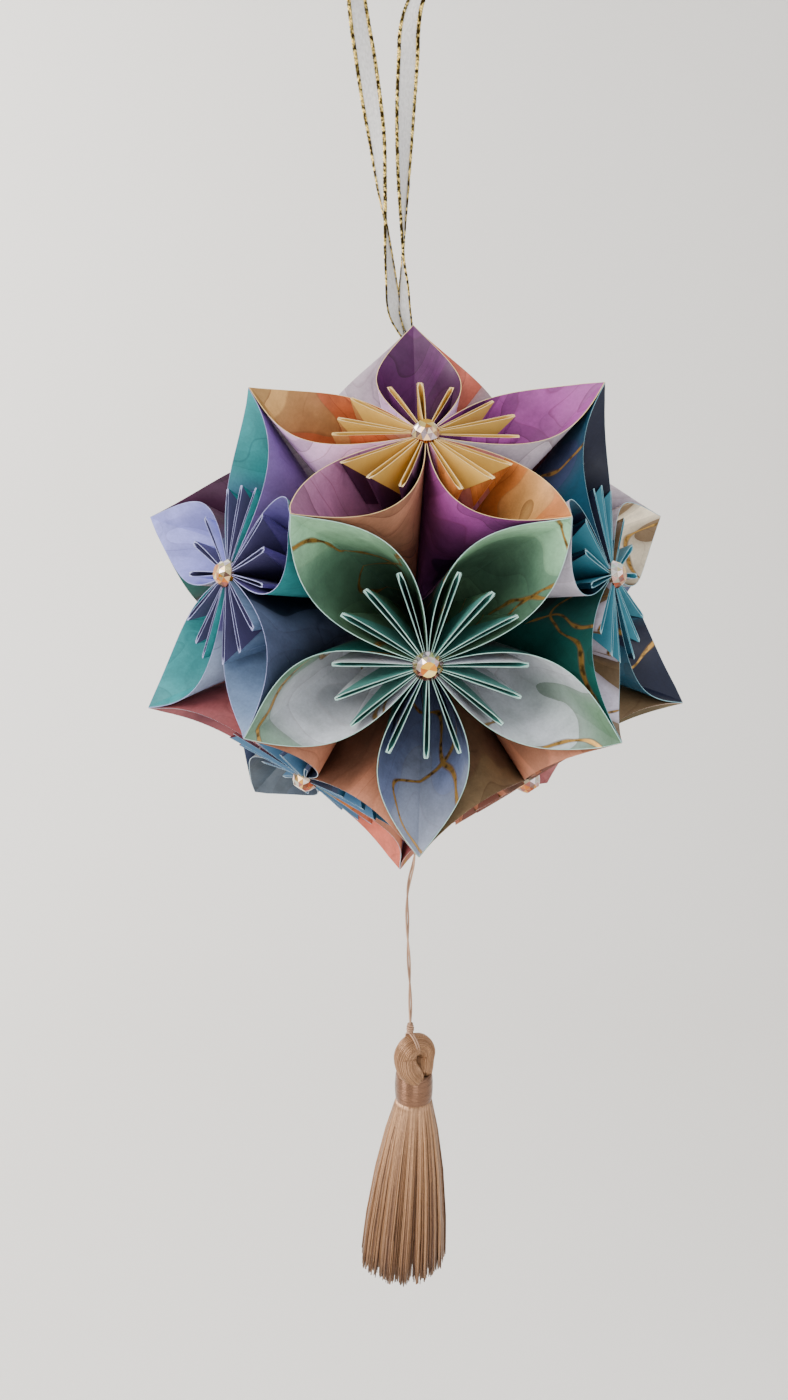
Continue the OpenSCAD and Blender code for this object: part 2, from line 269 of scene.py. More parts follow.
# Papers, by these values:
# back, edge: colours of the plain side, and of cut edges and worn folds
# flow: how far the washes stray
# turns: levels where the heart's ink turns to the middle's, and the middle's to the tip's
# layers, crisp: how many washes lie from heart to tip, and how sharply they end
# tide, hair: how dark the drying lines and the hair lines are
# gilt, splash: how much gilded vein and white splash there is
# petals: for each, inks of its inside from tip to heart, then of its outside from rim to base
COMMON_PAPER = {
    "flow": 0.5, "turns": (0.34, 0.56, 0.6, 0.86), "layers": 6.0,
    "crisp": 0.4, "tide": 0.3, "hair": 0.2,
    "gilt": 0.0, "splash": 0.1,
}
PAPERS = {
    "gold": {
        "back": "#c9a04e", "edge": "#d9bd86",
        "flow": 0.7, "turns": (0.34, 0.52, 0.86, 0.98), "layers": 8.0, "crisp": 0.8, "tide": 0.5,
        "hair": 0.25, "splash": 0.0,
        "petals": [
            "plum plum aubergine / lilac mauve",
            "tan orange brick / lilac lilac",
            "mauve mauve aubergine / clay brick",
            "tan apricot mauve / orchid grape",
            "orchid orchid plum / lilac_grey lilac_grey",
        ],
    },
    "rose": {
        "back": "#b98aa0", "edge": "#dcc3ba",
        "flow": 0.6, "crisp": 0.6, "tide": 0.35,
        "petals": [
            "mauve rosewood maroon / coral lilac_grey",
            "plum maroon aubergine / maroon plum",
            "coral mauve maroon / lilac_grey mauve",
            "lilac mauve aubergine / lilac_grey mauve",
            "apricot coral maroon / apricot lilac",
        ],
    },
    "slate": {
        "back": "#6f8f96", "edge": "#c9d2d2",
        "layers": 5.0, "tide": 0.25, "hair": 0.4,
        "petals": [
            "mist slate navy / lilac_grey slate",
            "silver slate navy / mist petrol",
            "teal slate navy / maroon aubergine",
            "mist petrol midnight / aubergine aubergine",
            "lilac_grey slate navy / lilac_grey teal",
        ],
    },
    "green": {
        "back": "#477f77", "edge": "#9cbdb4",
        "flow": 0.42, "turns": (0.34, 0.56, 0.6, 0.84), "layers": 7.0, "tide": 0.2, "hair": 0.1,
        "gilt": 1.0, "splash": 0.15,
        "petals": [
            "storm slate navy / deep_green char",
            "moss silver pewter / deep_green char",
            "celadon fern moss / deep_green char",
            "celadon fern moss / deep_green char",
            "moss silver pewter / deep_green char",
        ],
    },
    "violet": {
        "back": "#3b385b", "edge": "#8c90bc",
        "flow": 0.45, "layers": 7.0, "crisp": 0.45, "tide": 0.16, "hair": 0.45,
        "petals": [
            "teal teal indigo / amethyst indigo",
            "lavender lavender lavender / aubergine slate",
            "teal teal slate / powder indigo",
            "steel_blue steel_blue indigo / slate midnight",
            "amethyst indigo indigo / teal midnight",
        ],
    },
    "navy": {
        "back": "#3f8598", "edge": "#8fb9c2",
        "flow": 1.0, "turns": (0.34, 0.56, 0.74, 0.96), "layers": 5.0, "crisp": 0.5, "tide": 0.15,
        "hair": 0.25, "gilt": 0.8, "splash": 0.5,
        "petals": [
            "midnight midnight petrol / petrol navy",
            "midnight petrol midnight / white_lilac pewter",
            "white_lilac umber navy / deep_green char",
            "midnight midnight petrol / petrol midnight",
            "bone umber white_lilac / lilac_grey petrol",
        ],
    },
    "steel": {
        "back": "#456f90", "edge": "#a9bcc8",
        "splash": 0.25,
        "petals": [
            "coral apricot teal / brick cocoa",
            "petrol navy midnight / brick cocoa",
            "slate navy midnight / brick maroon",
            "rosewood maroon midnight / rosewood maroon",
            "ash navy midnight / ash midnight",
        ],
    },
    "rust": {
        "back": "#7a4a3c", "edge": "#c9ada0",
        "flow": 0.55, "crisp": 0.45, "hair": 0.3, "gilt": 0.3, "splash": 0.3,
        "petals": [
            "brick maroon cocoa / rosewood cocoa",
            "rosewood maroon cocoa / maroon cocoa",
            "olive umber cocoa / umber cocoa",
            "brick cocoa cocoa / brick cocoa",
            "umber brick cocoa / umber cocoa",
        ],
    },
}
# Which paper each flower is folded from
FLOWER_PAPERS = [
    "gold", "rose", "slate", "green", "violet", "navy",
    "green", "violet", "navy", "gold", "steel", "rust",
]

# Stones: sides of the cut, and the tints of pale upward facets and warm downward facets, mixed as a painted
# reflection of the light from above, and of top facets
STONE_SIDES = 12
STONE_TINTS = (
    ("#fbf8ee", "#d8ead9", "#f6e3ea", "#e9d9a0"),
    ("#b5611c", "#98401f", "#c9861f", "#8f5048", "#6a371f"),
    ("#dba62b", "#c77f1e", "#e6cd7c", "#b0601f"),
)


def linear(code):
    """A colour code as linear red, green and blue."""
    parts = [int(code[i : i + 2], 16) / 255 for i in (1, 3, 5)]
    return tuple(c / 12.92 if c <= 0.04045 else ((c + 0.055) / 1.055) ** 2.4 for c in parts)


def paint(code):
    """A colour code as a shader socket takes it."""
    return (*linear(code), 1.0)


class Graph:
    """A material's nodes, with short calls for the kinds used here."""

    def __init__(self, name):
        self.material = bpy.data.materials.new(name)
        self.material.use_nodes = True
        self.nodes = self.material.node_tree.nodes
        self.links = self.material.node_tree.links
        self.shader = self.nodes["Principled BSDF"]

    def put(self, socket, value):
        if isinstance(value, bpy.types.NodeSocket):
            self.links.new(value, socket)
        else:
            socket.default_value = value

    def set(self, name, value):
        self.put(self.shader.inputs[name], value)

    def node(self, kind, output, inputs, **settings):
        """One output of a new node, made with these inputs and settings."""
        node = self.nodes.new(f"ShaderNode{kind}")
        for name, value in settings.items():
            setattr(node, name, value)
        for key, value in inputs.items():
            self.put(node.inputs[key], value)
        return node.outputs[output]

    def attribute(self, name, output="Color"):
        return self.node("Attribute", output, {}, attribute_name=name)

    def object_place(self):
        return self.node("TexCoord", "Object", {})

    def math(self, operation, a, b=0.0):
        return self.node("Math", 0, {0: a, 1: b}, operation=operation)

    def vector(self, operation, a, b):
        output = "Value" if operation == "DOT_PRODUCT" else "Vector"
        return self.node("VectorMath", output, {0: a, 1: b}, operation=operation)

    def combined(self, x, y):
        return self.node("CombineXYZ", 0, {0: x, 1: y})

    def noise(self, vector, scale, detail=2.0, roughness=0.5, output="Fac"):
        inputs = {"Vector": vector, "Scale": scale, "Detail": detail, "Roughness": roughness}
        return self.node("TexNoise", output, inputs)

    def cells(self, vector, scale):
        return self.node("TexVoronoi", "Distance", {"Vector": vector, "Scale": scale})

    def wander(self, place, petal, way, period):
        """Distance from the nearest of some lines that run one way over the sheet and wander as they go."""
        along = self.vector("DOT_PRODUCT", place, (*way, 0.0))
        across = self.vector("DOT_PRODUCT", place, (-way[1], way[0], 0.0))
        drift = self.noise(self.combined(along, petal), 0.36, 1.6, 0.4)
        strayed = self.math("ADD", across, self.math("MULTIPLY", drift, VEIN_STRAY * period))
        phase = self.math("FRACT", self.math("DIVIDE", strayed, period))
        return self.math("MULTIPLY", self.from_half(phase), period)

    def from_half(self, value):
        """How far a value is from one half."""
        return self.math("ABSOLUTE", self.math("SUBTRACT", value, 0.5))

    def smooth(self, value, low, high, to_low=0.0, to_high=1.0):
        inputs = {"Value": value, "From Min": low, "From Max": high, "To Min": to_low, "To Max": to_high}
        return self.node("MapRange", "Result", inputs, interpolation_type="SMOOTHSTEP")

    def mix(self, share, a, b, blend="MIX"):
        return self.node("Mix", 2, {"Factor": share, 6: a, 7: b}, data_type="RGBA", blend_type=blend)

    def shade(self, color, factor):
        """A colour multiplied by a tone or by another colour."""
        return self.mix(1.0, color, factor, "MULTIPLY")

    def bump(self, height, strength, distance):
        inputs = {"Strength": strength, "Distance": distance, "Height": height}
        self.set("Normal", self.node("Bump", "Normal", inputs))


def in_scene(name, data):
    """A new object that is linked to the scene."""
    item = bpy.data.objects.new(name, data)
    bpy.context.scene.collection.objects.link(item)
    return item


def grid_faces(rows, columns, closed):
    """Four-sided faces over rows and columns of points; closed joins the last column to the first."""
    faces = []
    for r in range(rows - 1):
        for c in range(columns if closed else columns - 1):
            d = (c + 1) % columns
            faces.append([r * columns + c, r * columns + d, (r + 1) * columns + d, (r + 1) * columns + c])
    return faces


class Builder:
    """Gathers grids of points in millimetres, with what the materials read at each point."""

    FIELDS = {"print_at": 3, "reach": 1, "petal": 1, "ink_tip": 4, "ink_middle": 4, "ink_heart": 4, "tint": 4}
    KINDS = {1: ("FLOAT", "value"), 3: ("FLOAT_VECTOR", "vector"), 4: ("FLOAT_COLOR", "color")}

    def __init__(self):
        self.points = []
        self.faces = []
        self.slots = []
        self.fields = {name: [] for name in self.FIELDS}
        self.count = 0

    def add(self, points, faces, slot, **fields):
        points = np.asarray(points, float)
        n = len(points)
        self.points.append(points)
        self.faces.extend([[i + self.count for i in face] for face in faces])
        self.slots.extend([slot] * len(faces))
        for name, width in self.FIELDS.items():
            value = np.asarray(fields.get(name, np.zeros(width)), float)
            self.fields[name].append(np.broadcast_to(value.reshape(-1, width), (n, width)))
        self.count += n

    def grid(self, points, slot, flip=False, closed=False, **fields):
        """A sheet over rows and columns of points."""
        rows, columns = points.shape[:2]
        faces = grid_faces(rows, columns, closed)
        if flip:
            faces = [face[::-1] for face in faces]
        flat = {k: v.reshape(rows * columns, -1) if np.ndim(v) > 1 else v for k, v in fields.items()}
        self.add(points.reshape(-1, 3), faces, slot, **flat)

    def tube(self, path, radii, sides, slot, **fields):
        """A round tube along a path, with a cap at each end."""
        path = np.asarray(path, float)
        radii = np.broadcast_to(radii, len(path))
        way = directions(path)
        start = np.cross(way[0], [0.0, 1.0, 0.0])
        if np.linalg.norm(start) < 0.1:
            start = np.cross(way[0], [1.0, 0.0, 0.0])
        across = unit(start)
        angles = np.arange(sides) * 2 * math.pi / sides
        rings = []
        for k in range(len(path)):
            across = unit(across - way[k] * (across @ way[k]))
            depth = np.cross(way[k], across)
            ring = np.outer(np.cos(angles), across) + np.outer(np.sin(angles), depth)
            rings.append(path[k] + radii[k] * ring)
        faces = grid_faces(len(path), sides, closed=True)
        last = (len(path) - 1) * sides
        faces.append(list(range(sides))[::-1])
        faces.append([last + j for j in range(sides)])
        self.add(np.concatenate(rings), faces, slot, **fields)

    def build(self, name, node, slot, materials, smooth=True):
        """The piece that replaces a node of the part, riding on the part's one body."""
        mesh = bpy.data.meshes.new(name)
        points = np.concatenate(self.points) * MM
        mesh.from_pydata(points.tolist(), [], self.faces)
        for material in materials:
            mesh.materials.append(material)
        mesh.polygons.foreach_set("material_index", self.slots)
        mesh.polygons.foreach_set("use_smooth", [smooth] * len(self.faces))
        for field, width in self.FIELDS.items():
            values = np.concatenate(self.fields[field])
            if not values.any():
                continue
            kind, place = self.KINDS[width]
            attribute = mesh.attributes.new(field, kind, "POINT")
            attribute.data.foreach_set(place, values.astype(np.float32).ravel())
        mesh.update()
        piece = in_scene(name, mesh)
        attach(piece, "root")
        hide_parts(node)
        return piece


def turned(angle, axis="Z"):
    """Rotation about an axis, the upright one unless another is named."""
    return np.array(Matrix.Rotation(angle, 3, axis))


def unit(v):
    """A vector, or each row of vectors, at length one."""
    return v / np.linalg.norm(v, axis=-1, keepdims=True)


def directions(path):
    """The way a path runs at each of its points."""
    return unit(np.gradient(path, axis=0))


def running_length(path):
    """How far along a path each of its points lies."""
    steps = np.linalg.norm(np.diff(path, axis=0), axis=1)
    return np.concatenate([[0.0], np.cumsum(steps)])


def cross_axes(way):
    """Two directions square to each of some ways, the first of them square to the depth of the scene too."""
    across = unit(np.cross([0.0, 1.0, 0.0], way))
    return across, np.cross(way, across)


def polar(radius, angle, z):
    """Points at a distance and an angle round the upright axis, at some height."""
    return np.stack(np.broadcast_arrays(radius * np.cos(angle), radius * np.sin(angle), z), axis=-1)


def even_tint(value):
    """The same tint for every point of a tube."""
    return np.full(4, value)


def flower_turn(index):
    """Rotation that puts the axis of a flower, and its first petal, where they belong on the ball."""
    tilt, first, turn = RINGS[index // FLOWERS_PER_RING]
    azimuth = first + 360 / FLOWERS_PER_RING * (index % FLOWERS_PER_RING)
    return turned(math.radians(azimuth)) @ turned(tilt, "Y") @ turned(math.radians(turn))


def corner_of(index, k):
    """The flowers that meet at the tip of a flower's petal k, as a sorted triple."""
    tip = flower_turn(index) @ turned(2 * math.pi * k / PETALS) @ [TIP_X * TIP_H / SEAM_L, 0, CORE_R + TIP_H]
    axes = [flower_turn(i) @ [0, 0, 1] for i in range(len(FLOWER_PAPERS))]
    nearest = sorted(range(len(axes)), key=lambda i: -(axes[i] @ tip))[:3]
    return tuple(sorted(nearest))


def smooth_path(points, steps):
    """A smooth curve through the rows of points, with some steps between each two."""
    p = np.asarray(points, float)
    p = np.vstack([2 * p[0] - p[1], p, 2 * p[-1] - p[-2]])
    rows = []
    for k in range(1, len(p) - 2):
        for t in np.arange(steps) / steps:
            rows.append(
                0.5 * (
                    2 * p[k]
                    + (p[k + 1] - p[k - 1]) * t
                    + (2 * p[k - 1] - 5 * p[k] + 4 * p[k + 1] - p[k + 2]) * t**2
                    + (3 * p[k] - p[k - 1] - 3 * p[k + 1] + p[k + 2]) * t**3
                )
            )
    rows.append(p[-2])
    return np.array(rows)


def wash_color(g, paper, warped):
    """Washes that lie over each other in layers of uneven strength, each with a dark line where it dried."""
    drawn = g.vector("MULTIPLY", warped, WASH_STRETCH)
    wash = g.smooth(g.noise(drawn, 0.34, 1.0, 0.4), 0.28, 0.72)
    stray = g.math("MULTIPLY", g.math("SUBTRACT", wash, 0.5), paper["flow"])
    field = g.math("ADD", g.attribute("reach", "Fac"), stray)
    layers = g.math("MULTIPLY", field, paper["layers"])
    step = g.math("FLOOR", layers)
    within = g.math("SUBTRACT", layers, step)
    stepped = g.math("DIVIDE", g.math("ADD", step, 0.5), paper["layers"])
    level = g.math("ADD", field, g.math("MULTIPLY", g.math("SUBTRACT", stepped, field), paper["crisp"]))

    heart_end, middle_start, middle_end, tip_start = paper["turns"]
    past_heart = g.smooth(level, heart_end, middle_start)
    color = g.mix(past_heart, g.attribute("ink_heart"), g.attribute("ink_middle"))
    color = g.mix(g.smooth(level, middle_end, tip_start), color, g.attribute("ink_tip"))
    uneven = g.noise(g.combined(step, g.attribute("petal", "Fac")), 3.7, 0.0)
    color = g.mix(paper["crisp"], color, g.shade(color, g.smooth(uneven, 0.3, 0.7, *LAYER_TONES)))
    tide = g.smooth(within, 0.0, TIDE_W, paper["tide"], 0.0)
    return g.mix(tide, color, g.shade(color, TIDE_SHADE))


def hair_lines(g, paper, color, place, warped):
    """Thin dark lines, here and there."""
    ridge = g.from_half(g.noise(warped, 0.62, 1.0, 0.4))
    here = g.smooth(g.noise(place, 0.7, 1.0), 0.45, 0.6, 0.0, paper["hair"])
    hair = g.math("MULTIPLY", g.smooth(ridge, 0.0, HAIR_W, 1.0, 0.0), here)
    return g.mix(hair, color, g.shade(color, HAIR_SHADE))


def splashes(g, paper, color, place):
    """Small white drops of uneven size, in patches."""
    near = g.cells(place, 2.6)
    here = g.smooth(g.noise(place, 0.5, 1.0), 0.56, 0.66)
    size = g.math("MULTIPLY", g.noise(place, 3.1, 0.0), DROP_R)
    shown = g.math("MULTIPLY", here, paper["splash"])
    drops = g.math("MULTIPLY", g.math("LESS_THAN", near, size), shown)
    return g.mix(drops, color, paint(SPLASH_WHITE))


def gilded_veins(g, paper, color, roughness, place):
    """Wandering veins of metal leaf with a dark rim; they swell, thin out and stop."""
    petal = g.attribute("petal", "Fac")
    ridge = g.math("MINIMUM", *(g.wander(place, petal, way, period) for way, period in VEIN_WAYS))
    start_level = 0.56 - 0.28 * paper["gilt"]
    here = g.smooth(g.noise(place, 0.3, 1.0), start_level, start_level + 0.06)
    swell = g.smooth(g.noise(place, 1.4, 1.0), 0.3, 0.7, 0.4, 1.0)
    thick = g.math("MULTIPLY", g.math("MULTIPLY", swell, here), VEIN_HALF_W)
    rim = g.smooth(ridge, thick, g.math("MULTIPLY", thick, 1.5), 1.0, 0.0)
    vein = g.smooth(ridge, g.math("MULTIPLY", thick, 0.55), thick, 1.0, 0.0)
    leaf = g.mix(g.smooth(g.noise(place, 5.0, 2.0), 0.3, 0.52), paint(GOLD_SHADE), paint(GOLD_LEAF))
    color = g.mix(g.math("MULTIPLY", rim, 0.6), color, paint(GOLD_SHADE))
    g.set("Metallic", g.math("MULTIPLY", vein, 0.65))
    return g.mix(vein, color, leaf), g.mix(vein, roughness, (0.32, 0.32, 0.32, 1.0))


def print_material(name, paper):
    """Ink washes in the petal's own three inks, with tide lines, hair lines, gilded veins and splashes."""
    g = Graph(f"print_{name}")
    place = g.attribute("print_at", "Vector")
    warp = g.vector("SUBTRACT", g.noise(place, 0.3, 1.0, output="Color"), (0.5, 0.5, 0.5))
    warped = g.vector("ADD", place, g.vector("MULTIPLY", warp, [WARP_REACH] * 3))
    # Pigment settles unevenly, in clouds and in grains
    cloud = g.smooth(g.noise(warped, 1.1, 4.0, 0.6), 0.3, 0.7, *CLOUD_TONES)
    grain = g.smooth(g.noise(place, 14.0, 3.0, 0.6), 0.25, 0.75, *GRAIN_TONES)
    color = g.shade(wash_color(g, paper, warped), g.math("MULTIPLY", cloud, grain))
    color = hair_lines(g, paper, color, place, warped)
    roughness = g.smooth(cloud, *CLOUD_TONES, 0.5, 0.4)
    if paper["splash"]:
        color = splashes(g, paper, color, place)
    if paper["gilt"]:
        color, roughness = gilded_veins(g, paper, color, roughness, place)
    g.set("Base Color", color)
    g.set("Roughness", roughness)
    g.set("Specular IOR Level", 0.26)
    g.bump(grain, 0.25, 0.0004)
    return g.material


def back_material(name, paper):
    """The paper's plain back: even colour with a faint tooth."""
    g = Graph(f"back_{name}")
    place = g.object_place()
    tone = g.smooth(g.noise(place, 90.0, 3.0, 0.6), 0.3, 0.7, 0.9, 1.08)
    tooth = g.noise(place, 1500.0, 2.0)
    g.set("Base Color", g.shade(paint(paper["back"]), tone))
    g.set("Roughness", g.smooth(tooth, 0.3, 0.7, 0.46, 0.56))
    g.bump(tooth, 0.2, 0.0002)
    return g.material


def edge_material(name, paper):
    """Cut edges and worn folds, where the pale core of the paper shows."""
    g = Graph(f"edge_{name}")
    place = g.object_place()
    wear = g.smooth(g.noise(place, 240.0, 3.0, 0.6), 0.32, 0.6)
    core = np.array(paint(paper["edge"]))
    rubbed = core + 0.45 * (np.array(paint(paper["back"])) - core)
    g.set("Base Color", g.mix(wear, rubbed, core))
    g.set("Roughness", g.smooth(wear, 0.0, 1.0, 0.6, 0.75))
    return g.material


def paper_materials(name):
    """A paper's print, back and edge, in the order of a petal's slots."""
    paper = COMMON_PAPER | PAPERS[name]
    return [make(name, paper) for make in (print_material, back_material, edge_material)]


def bezier(p, t):
    t = np.asarray(t)[:, None]
    return (1 - t) ** 3 * p[0] + 3 * (1 - t) ** 2 * t * p[1] + 3 * (1 - t) * t**2 * p[2] + t**3 * p[3]


def side_section(steps, belly):
    """Outer and inner points along one side of a petal's section, from the seam to the tip."""
    handle = FULLNESS * TIP_X
    tip = math.radians(TIP_ANGLE)
    curve = np.array([
        [SEAM_X, 0],
        [SEAM_X + handle * math.cos(HALF_WEDGE), handle * math.sin(HALF_WEDGE)],
        [END_X - handle * math.cos(tip), handle * math.sin(tip) * belly],
        [END_X, 0],
    ])
    t = np.linspace(0, 1, steps + 1)
    outer = bezier(curve, t)
    way = directions(outer)
    inner = outer + WALL_T * np.stack([way[:, 1], -way[:, 0]], axis=1)
    inner[0] = [SEAM_X + WALL_T / math.sin(HALF_WEDGE), 0]
    inner[-1] = [END_X - WALL_T / math.sin(tip), 0]
    return outer, inner


def generators(section):
    """Lines from the petal's start to section points at the height of the seam."""
    return np.concatenate([section, np.full((len(section), 1), SEAM_L)], axis=1)


def on_generators(section, shares):
    """Points at shares of the lines through section points; a share of one is the height of the seam."""
    return generators(section) * shares[..., None] + [0, 0, CORE_R]


def flat_places(section):
    """Directions of the section's lines when the wall is laid flat, as angles from the tip's line."""
    rays = unit(generators(section))
    steps = np.arccos(np.clip((rays[1:] * rays[:-1]).sum(1), -1, 1))
    return np.concatenate([np.cumsum(steps[::-1])[::-1], [0.0]])


def rim_shares(section, flat):
    """Shares at which the section's lines reach the sheet's edge, which dips between seam and tip."""
    stretch = np.linalg.norm(generators(section), axis=1)
    return SEAM_L / np.cos(SHEET_ANGLE * (1 - flat / flat[0])) / stretch


class Petal:
    """One folded square: its curled wall and the three fins inside it."""

    SIDE_STEPS = 30
    WALL_ROWS = 18
    # The wall starts near its folded point; below the bend it is drawn in to the middle of the ball
    FOOT_SHARE = 0.02
    FOOT_BEND = 0.21
    FIN_STEPS = 10
    FIN_ROWS = 5
    FLAP_STEPS = 9
    LEAF_T = 0.095
    FLAP_T = 0.1
    FLAP_GAP = 0.02
    RIM_T = 0.17
    FIN_EXTRA = 1.6
    FIN_RISE = 0.012
    FIN_ROOT = 1.5
    FIN_LOW = 0.3
    # A leaf pair: half its thickness at the root, the arc of its swelling, the pinch and gap at its fold
    ROOT_HALF = 0.16
    SWELLING = 0.58 * math.pi
    FOLD_PINCH = 0.78
    LEAST_GAP = 0.03
    PRINT, BACK, EDGE = range(3)

    def __init__(self, builder, index, k, inks, chance):
        self.builder = builder
        self.turn = flower_turn(index) @ turned(2 * math.pi * k / PETALS)
        self.middle_shift = np.array(MIDDLE_SHIFTS.get(index, (0, 0, 0)), float)
        self.tip_shift = np.array(CORNER_SHIFTS.get(corner_of(index, k), (0, 0, 0)), float)
        self.inside_inks, self.outside_inks = (side.split() for side in inks.split("/"))
        self.chance = chance
        self.sheet_at = np.array([chance.uniform(0, 60) for axis in range(3)])

    def placed(self, points):
        """Points of the petal put on the ball, drawn a little to where its tip and its middle really sit."""
        out = (np.clip(points[..., :1] / TIP_X, 0, 1)) ** 2
        up = np.clip((points[..., 2:] - CORE_R) / SEAM_L, 0, 1) ** 2
        drawn = up * (self.middle_shift * (1 - out) + self.tip_shift * out)
        return points @ self.turn.T + drawn + [0, 0, BALL_Z]

    def fields(self, points, angles, inks, shift):
        """What the print reads at points: their place on the flat sheet and the petal's inks."""
        from_start = points - [0, 0, CORE_R]
        distance = np.linalg.norm(from_start, axis=-1)
        across = np.hypot(from_start[..., 0], from_start[..., 1]) / (TIP_X * (1 + RIM_RISE))
        sheet = polar(distance, angles, 0.0)
        reach = 0.45 * across + 0.55 * distance / CORNER_L
        tip, middle, heart = (np.array(paint(INKS[i])) for i in inks)
        return {
            "print_at": sheet / PRINT_UNIT + self.sheet_at + shift,
            "reach": reach[..., None],
            "petal": np.array([self.sheet_at[0] + shift]),
            "ink_tip": tip,
            "ink_middle": middle,
            "ink_heart": heart,
        }

    def wall(self):
        """The curled wall, as two mirrored sides that meet at the seam and at the tip."""
        outside_inks = (self.outside_inks[0], *self.outside_inks)
        for side in (1, -1):
            outer, inner = side_section(self.SIDE_STEPS, self.chance.uniform(0.93, 1.0))
            flat = flat_places(outer)
            rise = np.linspace(0, 1, self.WALL_ROWS + 1)[:, None] ** 0.8
            shares = self.FOOT_SHARE + (rim_shares(outer, flat)[None] - self.FOOT_SHARE) * rise
            angles = side * np.broadcast_to(flat, shares.shape)
            mirror = np.array([1, side, 1])
            sunk = np.zeros((*shares.shape, 3))
            sunk[..., 2] = CORE_R * np.clip(1 - shares / self.FOOT_BEND, 0, 1)
            out = (on_generators(outer, shares) - sunk) * mirror
            into = (on_generators(inner, shares) - sunk) * mirror
            into[-1] = out[-1] + (into[-1] - out[-1]) * self.RIM_T / WALL_T
            rim = np.stack([out[-1], into[-1]])
            foot = np.stack([into[0], out[0]])
            flip = side < 0
            outside = self.fields(out, angles, outside_inks, OUTSIDE_SHIFT)
            inside = self.fields(into, angles, self.inside_inks, 0.0)
            self.builder.grid(self.placed(out), self.PRINT, flip=flip, **outside)
            self.builder.grid(self.placed(into), self.PRINT, flip=not flip, **inside)
            self.builder.grid(self.placed(rim), self.EDGE, flip=flip)
            self.builder.grid(self.placed(foot), self.EDGE, flip=flip)

    def half_leaf(self, t, spread):
        """Half the thickness of a leaf pair, from its root at t = 0 to its fold at t = 1."""
        swell = np.sin(t * self.SWELLING) / math.sin(self.SWELLING)
        return self.ROOT_HALF + (spread / 2 - self.ROOT_HALF) * swell

    def fin_section(self, angle, reach, spread):
        """Outside and inside of a folded leaf pair: along one face, round the fold and back."""
        t = np.linspace(0, 1, self.FIN_STEPS + 1)
        along = self.FIN_ROOT + (reach - self.FIN_ROOT) * t
        half = self.half_leaf(t, spread)
        half[-1] = self.FOLD_PINCH * half[-2]
        gap = np.maximum(half - self.LEAF_T, self.LEAST_GAP)
        gap[-1] = self.LEAST_GAP
        along_gap = along.copy()
        along_gap[-1] -= self.LEAF_T
        outside = np.concatenate([np.stack([along, -half], 1), np.stack([along, half], 1)[::-1]])
        inside = np.concatenate([np.stack([along_gap, -gap], 1), np.stack([along_gap, gap], 1)[::-1]])
        c, s = math.cos(angle), math.sin(angle)
        turn = np.array([[c, s], [-s, c]])
        return outside @ turn + [SEAM_X, 0], inside @ turn + [SEAM_X, 0]

    def fin(self, step):
        """One fin; its faces towards a neighbouring fin carry the folded-down corner of the sheet."""
        angle = math.radians(FIN_ANGLE * step + self.chance.uniform(-1.3, 1.3))
        reach = FIN_L + self.FIN_EXTRA + self.chance.uniform(-0.7, 0.3)
        spread = self.chance.uniform(0.85, 1.4)
        top = 1 + self.FIN_RISE + self.chance.uniform(-0.008, 0.006)
        outside, inside = self.fin_section(angle, reach, spread)
        rows = np.linspace(self.FIN_LOW, top, self.FIN_ROWS + 1)[:, None]
        shares = np.broadcast_to(rows, (self.FIN_ROWS + 1, len(outside)))
        out = on_generators(outside, shares)
        into = on_generators(inside, shares)
        spin = np.broadcast_to(np.linspace(0.2, 1.2, len(outside)), shares.shape)
        self.builder.grid(self.placed(out), self.PRINT, **self.fields(out, spin, self.inside_inks, FIN_SHIFT))
        self.builder.grid(self.placed(into), self.BACK, flip=True)
        self.builder.grid(self.placed(np.stack([out[-1], into[-1]])), self.EDGE)
        for face in (-1, 1):
            if -1 <= step + face <= 1:
                self.flap(angle, reach, spread, top, face)

    def flap(self, angle, reach, spread, top, face):
        """The sheet's corner folded down over a fin's face: a triangle that points into the valley."""
        steps = np.linspace(0, 1, self.FLAP_STEPS + 1)
        span = reach - self.FIN_ROOT
        depth = span * steps[:, None]
        share = top - depth / SEAM_L
        x = (self.FIN_ROOT + (span - depth) * steps) / share
        half = self.half_leaf(np.minimum((x - self.FIN_ROOT) / span, 1.0), spread)
        c, s = math.cos(angle), math.sin(angle)

        def sheet(offset):
            y = face * (half + offset)
            height = CORE_R + SEAM_L * np.broadcast_to(share, x.shape)
            return np.stack([(SEAM_X + x * c - y * s) * share, (x * s + y * c) * share, height], axis=-1)

        outer = sheet(self.FLAP_T)
        under = sheet(self.FLAP_GAP)
        flip = face < 0
        self.builder.grid(self.placed(outer), self.BACK, flip=not flip)
        self.builder.grid(self.placed(np.stack([outer[0], under[0]])), self.EDGE, flip=flip)
        self.builder.grid(self.placed(np.stack([outer[:, -1], under[:, -1]])), self.EDGE, flip=not flip)

    def build(self):
        self.wall()
        for step in (-1, 0, 1):
            self.fin(step)


def make_camera():
    data = bpy.data.cameras.new("photo_camera")
    data.sensor_width = SENSOR_MM
    data.lens = FOCAL_PX / PICTURE_H * SENSOR_MM
    data.clip_start = 0.01
    camera = in_scene("photo_camera", data)
    forward = CAMERA_FORWARD.normalized()
    right = (CAMERA_RIGHT - forward * CAMERA_RIGHT.dot(forward)).normalized()
    up = right.cross(forward)
    turn = Matrix((right, up, -forward)).transposed()
    camera.matrix_world = Matrix.Translation(CAMERA_AT) @ turn.to_4x4()
    bpy.context.scene.camera = camera


